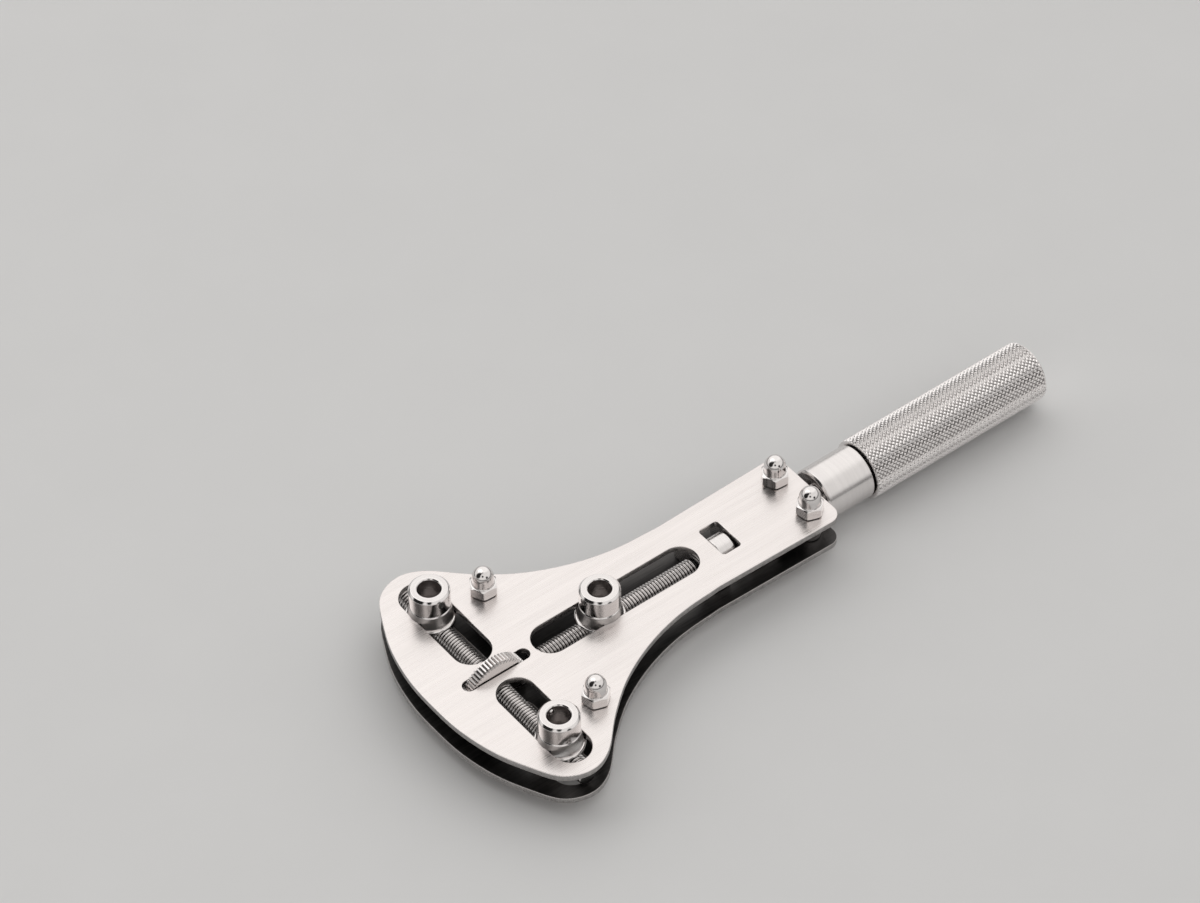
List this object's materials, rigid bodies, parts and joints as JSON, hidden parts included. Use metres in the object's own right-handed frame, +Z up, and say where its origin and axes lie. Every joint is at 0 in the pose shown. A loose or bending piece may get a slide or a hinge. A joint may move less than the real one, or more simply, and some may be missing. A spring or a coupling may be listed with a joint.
{
  "type": "case back opener",
  "caption": "Adjustable two-plate wrench for screwed watch case backs: a thumbwheel spreads two front bit holders and the knurled handle screws a rear one along its slot.",
  "frame": {"origin": "midway along and across the tool, on the surface that its four screw heads stand on", "axes": "+X along the handle, away from the jaws; +Y towards the left jaw; +Z up, out of the jaw sockets"},
  "size_m": [0.1606, 0.0666, 0.0187],
  "materials": {
    "brushed_plate": "brushed along the tool",
    "polished_steel": "turned and polished",
    "screw_steel": "cut thread, bright",
    "turned_steel": "turned",
    "knurled_steel": "diamond knurl"
  },
  "bodies": {
    "frame": {"bearing_block_front": "turned_steel", "bearing_block_rear": "turned_steel", "bearing_screw_front_left": "turned_steel", "bearing_screw_front_right": "turned_steel", "bearing_screw_rear_left": "turned_steel", "bearing_screw_rear_right": "turned_steel", "bottom_plate": "brushed_plate", "cap_nut_front_left": "polished_steel", "cap_nut_front_right": "polished_steel", "cap_nut_rear_left": "polished_steel", "cap_nut_rear_right": "polished_steel", "cap_screw_front_left": "turned_steel", "cap_screw_front_right": "turned_steel", "cap_screw_rear_left": "turned_steel", "cap_screw_rear_right": "turned_steel", "spacer_post_front_left": "turned_steel", "spacer_post_front_right": "turned_steel", "spacer_post_rear_left": "turned_steel", "spacer_post_rear_right": "turned_steel", "top_plate": "brushed_plate", "washer_front_left": "turned_steel", "washer_front_right": "turned_steel", "washer_rear_left": "turned_steel", "washer_rear_right": "turned_steel"},
    "wheel": {"thumbwheel": "screw_steel", "front_screw": "screw_steel"},
    "handle": {"rear_screw": "screw_steel", "thrust_collar": "polished_steel", "collar_pin": "turned_steel", "ferrule": "polished_steel", "set_screw": "turned_steel", "knurled_grip": "knurled_steel", "grip_core": "turned_steel", "end_cap": "polished_steel"},
    "jaw_left": {"jaw_left_holder": "polished_steel", "jaw_left_plug": "turned_steel", "jaw_left_spring": "turned_steel"},
    "detent_left": {"jaw_left_ball": "polished_steel"},
    "jaw_right": {"jaw_right_holder": "polished_steel", "jaw_right_plug": "turned_steel", "jaw_right_spring": "turned_steel"},
    "detent_right": {"jaw_right_ball": "polished_steel"},
    "jaw_rear": {"jaw_rear_holder": "polished_steel", "jaw_rear_plug": "turned_steel", "jaw_rear_spring": "turned_steel"},
    "detent_rear": {"jaw_rear_ball": "polished_steel"}
  },
  "joints": [
    {"name": "thumbwheel_turn", "type": "hinge", "parent": "frame", "child": "wheel", "pos_m": [-0.06475, 0, 0.00775], "axis": [0, 1, 0], "range_deg": [-895, 5850]},
    {"name": "jaw_left_slide", "type": "slide", "parent": "frame", "child": "jaw_left", "axis": [0, 1, 0], "range_m": [-0.01218, 0.00186]},
    {"name": "jaw_right_slide", "type": "slide", "parent": "frame", "child": "jaw_right", "axis": [0, 1, 0], "range_m": [-0.00186, 0.01218]},
    {"name": "handle_turn", "type": "hinge", "parent": "frame", "child": "handle", "pos_m": [-0.06475, 0, 0.00775], "axis": [1, 0, 0], "range_deg": [-9020, 5130]},
    {"name": "jaw_rear_slide", "type": "slide", "parent": "frame", "child": "jaw_rear", "axis": [1, 0, 0], "range_m": [-0.0107, 0.0188]},
    {"name": "detent_left_press", "type": "slide", "parent": "jaw_left", "child": "detent_left", "axis": [0, -1, 0], "range_m": [0, 0.00025], "stiffness_N_per_m": 400, "springref_m": -0.0005, "deforming": ["jaw_left_spring"]},
    {"name": "detent_right_press", "type": "slide", "parent": "jaw_right", "child": "detent_right", "axis": [0, 1, 0], "range_m": [0, 0.00025], "stiffness_N_per_m": 400, "springref_m": -0.0005, "deforming": ["jaw_right_spring"]},
    {"name": "detent_rear_press", "type": "slide", "parent": "jaw_rear", "child": "detent_rear", "axis": [-1, 0, 0], "range_m": [0, 0.00025], "stiffness_N_per_m": 400, "springref_m": -0.0005, "deforming": ["jaw_rear_spring"]}
  ],
  "couplings": [
    {"joint": "thumbwheel_turn", "follows": "jaw_left_slide", "rad_per_m": -8377.6},
    {"joint": "jaw_right_slide", "follows": "jaw_left_slide", "ratio": -1},
    {"joint": "jaw_rear_slide", "follows": "handle_turn", "m_per_rad": -0.00011937}
  ]
}
